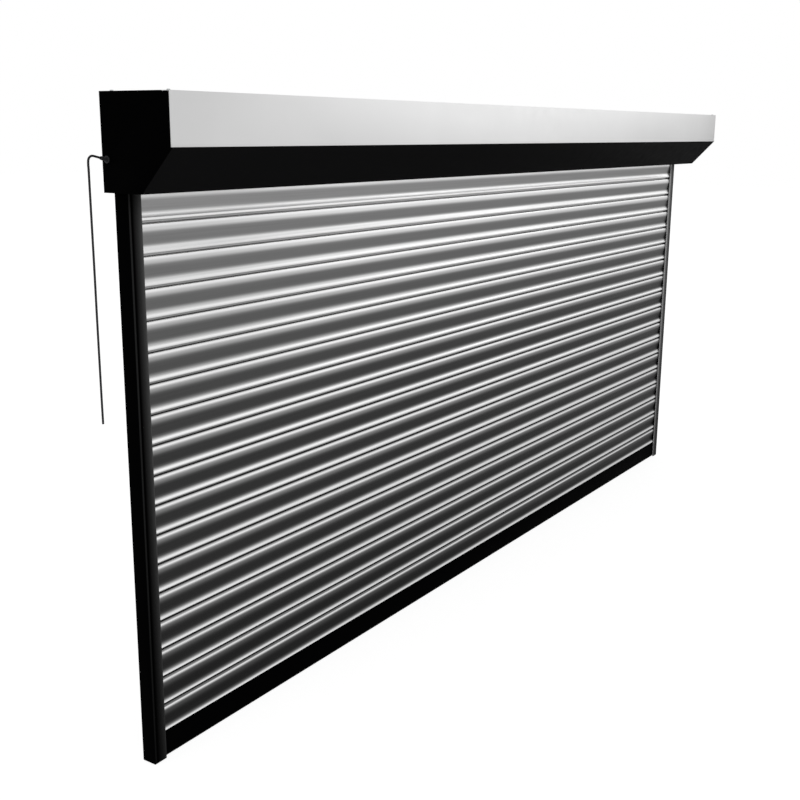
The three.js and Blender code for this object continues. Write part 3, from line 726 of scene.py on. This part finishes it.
def add_screws():
    """The screw is modelled once, with its recess cut by two crossed bars, and copied to each place."""
    names = sorted(name for name in frame["nodes"] if name.startswith("top_screw"))
    low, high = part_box(names[0])
    length = (high.z - low.z) / MM - SCREW_HEIGHT
    model = turned("screw_model", screw_profile(length), SCREW_SIDES)
    for turn in (0, math.pi / 2):
        bpy.ops.object.select_all(action="DESELECT")
        place = (0, 0, (SCREW_HEIGHT - RECESS_DEPTH / 2 + SEAT_GAP) * MM)
        bpy.ops.mesh.primitive_cube_add(size=MM, location=place, rotation=(0, 0, turn))
        cutter = bpy.context.object
        cutter.scale = (RECESS_LENGTH, RECESS_WIDTH, RECESS_DEPTH + 2 * SEAT_GAP)
        bpy.ops.object.transform_apply(location=True, rotation=True, scale=True)
        cut(model, cutter)
    bpy.ops.object.shade_smooth_by_angle(angle=SMOOTH_TURN)
    for name in names:
        low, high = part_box(name)
        place = ((low.x + high.x) / 2, (low.y + high.y) / 2, high.z - SCREW_HEIGHT * MM)
        settle(copied(model, f"{name}_pan_head", place), name, zinc_steel)
    bpy.data.objects.remove(model)


# Strain relief: a bush through the cap with a flange on both sides of its wall, and a ribbed, tapered
# sleeve that leans up from its root
RELIEF_ROOT_X = -1714.3
RELIEF_Z = -38.2
RELIEF_TILT = math.radians(12.5)
RELIEF_ROOT = 5.5
RELIEF_TIP = 3.9
RELIEF_LENGTH = 18
RELIEF_BORE = 2.6
BORE_DEPTH = 2
FLANGE_RADIUS = 8
FLANGE_LENGTH = 3
SHANK_RADIUS = 5
ROOT_SINK = 1.5
RELIEF_RIBS = 5
FIRST_RIB = 3.2
LAST_RIB = 1.2
RELIEF_GROOVE = 0.7


def sleeve_profile():
    """Ribs and grooves that shrink towards the tip, which is rounded into its bore."""
    profile = [(RELIEF_ROOT * 0.9, 0), (RELIEF_ROOT, 0.4)]
    pitch = (RELIEF_LENGTH - FIRST_RIB - LAST_RIB) / RELIEF_RIBS
    for i in range(RELIEF_RIBS):
        base = FIRST_RIB + i * pitch
        for along, sink in ((0.0, 0), (0.12, 1), (0.42, 1), (0.54, 0)):
            height = base + along * pitch
            outer = RELIEF_ROOT + (RELIEF_TIP - RELIEF_ROOT) * height / RELIEF_LENGTH
            profile.append((outer - sink * RELIEF_GROOVE, height))
    profile += [
        (RELIEF_TIP, RELIEF_LENGTH - 0.5), (RELIEF_TIP - 0.4, RELIEF_LENGTH),
        (RELIEF_BORE, RELIEF_LENGTH), (RELIEF_BORE, RELIEF_LENGTH - BORE_DEPTH),
    ]
    return profile


def bush_profile(inner_end):
    """Both flanges and the shank between them, with their edges eased, up to the inner flange's face."""
    outer_end = RELIEF_ROOT_X - ROOT_SINK
    wall = outer_end + FLANGE_LENGTH
    inner_start = inner_end - FLANGE_LENGTH
    return [
        (FLANGE_RADIUS - 0.7, outer_end), (FLANGE_RADIUS, outer_end + 0.7),
        (FLANGE_RADIUS, wall - 0.2), (FLANGE_RADIUS - 0.2, wall),
        (SHANK_RADIUS, wall), (SHANK_RADIUS, inner_start),
        (FLANGE_RADIUS - 0.2, inner_start), (FLANGE_RADIUS, inner_start + 0.3),
        (FLANGE_RADIUS, inner_end - 0.6), (FLANGE_RADIUS - 0.6, inner_end),
    ]


def add_strain_relief():
    """The bush and the sleeve as one moulding."""
    inner_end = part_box("strain_relief")[1].x / MM
    bush = turned("strain_relief_moulding", bush_profile(inner_end))
    onto_x = Matrix.Rotation(math.pi / 2, 4, "Y")
    bush.data.transform(Matrix.Translation(Vector((0, LEAD_Y, RELIEF_Z)) * MM) @ onto_x)
    sleeve = turned("sleeve", sleeve_profile())
    lean = Matrix.Rotation(RELIEF_TILT - math.pi / 2, 4, "Y")
    sleeve.data.transform(Matrix.Translation(Vector((RELIEF_ROOT_X, LEAD_Y, RELIEF_Z)) * MM) @ lean)
    settle(joined([bush, sleeve]), "strain_relief", black_plastic)
    return bush


# Stage: a white room, the light that fills it, the floor's tones and what the floor gives off in sight
FLOOR_SIZE = 60
FLOOR_DROP = 2
FLOOR_GLOW = 0.86
FLOOR_COLOR = (0.75, 0.75, 0.75, 1)
SHADOW_COLOR = (0.3, 0.3, 0.3, 1)
WHITE = (1, 1, 1, 1)
FILL = 0.65
# Each lamp's place, what it points at, its width and height in metres and its radiance
LAMPS = {
    "front_softbox": ((-2.5, -4.5, 2.4), (-0.3, 0, -0.4), (4, 2.4), 1.5),
    "side_softbox": ((7.1, -3.3, 1.7), (0.3, 0, -0.3), (3, 1.6), 1.0),
}


def background_rays(nodes, links):
    """1 on the rays that show the background, in view, in gloss and through glass."""
    rays = nodes.new("ShaderNodeLightPath").outputs
    total = rays["Is Camera Ray"]
    for other in ("Is Glossy Ray", "Is Transmission Ray"):
        add = nodes.new("ShaderNodeMath")
        add.operation = "ADD"
        add.use_clamp = True
        links.new(total, add.inputs[0])
        links.new(rays[other], add.inputs[1])
        total = add.outputs["Value"]
    return total


def add_world():
    """White in sight, in gloss and through glass, and an even fill on the object."""
    world = bpy.data.worlds.new("studio")
    bpy.context.scene.world = world
    world.use_nodes = True
    nodes, links = world.node_tree.nodes, world.node_tree.links
    seen = nodes["Background"]
    seen.inputs["Color"].default_value = WHITE
    fill = nodes.new("ShaderNodeBackground")
    fill.inputs["Color"].default_value = WHITE
    fill.inputs["Strength"].default_value = FILL
    mix = nodes.new("ShaderNodeMixShader")
    links.new(background_rays(nodes, links), mix.inputs["Fac"])
    links.new(fill.outputs["Background"], mix.inputs[1])
    links.new(seen.outputs["Background"], mix.inputs[2])
    links.new(mix.outputs["Shader"], nodes["World Output"].inputs["Surface"])


def add_floor():
    """A floor that is almost white in sight, keeps the shadow and lights the object as grey."""
    bpy.ops.object.select_all(action="DESELECT")
    bpy.ops.mesh.primitive_plane_add(size=FLOOR_SIZE, location=(0, 0, cad_low.z - FLOOR_DROP * MM))
    floor = bpy.context.object
    floor.name = "floor"
    material = bpy.data.materials.new("floor")
    material.use_nodes = True
    nodes, links = material.node_tree.nodes, material.node_tree.links
    shader = nodes["Principled BSDF"]
    shader.inputs["Base Color"].default_value = FLOOR_COLOR
    shader.inputs["Roughness"].default_value = 0.9
    shader.inputs["Specular IOR Level"].default_value = 0
    pale = nodes.new("ShaderNodeEmission")
    pale.inputs["Strength"].default_value = FLOOR_GLOW
    lit = nodes.new("ShaderNodeBsdfDiffuse")
    lit.inputs["Color"].default_value = SHADOW_COLOR
    both = nodes.new("ShaderNodeAddShader")
    links.new(pale.outputs["Emission"], both.inputs[0])
    links.new(lit.outputs["BSDF"], both.inputs[1])
    mix = nodes.new("ShaderNodeMixShader")
    links.new(background_rays(nodes, links), mix.inputs["Fac"])
    links.new(shader.outputs["BSDF"], mix.inputs[1])
    links.new(both.outputs["Shader"], mix.inputs[2])
    links.new(mix.outputs["Shader"], nodes["Material Output"].inputs["Surface"])
    floor.data.materials.append(material)


def add_lamp(name, place, target, size, radiance):
    """A softbox, lit from its face towards its target and not seen itself."""
    data = bpy.data.lights.new(name, "AREA")
    data.shape = "RECTANGLE"
    data.size, data.size_y = size
    data.energy = radiance * math.pi * size[0] * size[1]
    lamp = bpy.data.objects.new(name, data)
    lamp.location = place
    lamp.rotation_euler = (Vector(target) - Vector(place)).to_track_quat("-Z", "Y").to_euler()
    lamp.visible_camera = False
    bpy.context.scene.collection.objects.link(lamp)


add_camera()
lead = add_lead()
dress_nodes()
settle(lead, "motor_cable", cable_jacket)
relief = add_strain_relief()
add_laths()
add_housing()
add_screws()
add_world()
add_floor()
for name, setting in LAMPS.items():
    add_lamp(name, *setting)
bpy.context.scene.view_settings.view_transform = "Standard"
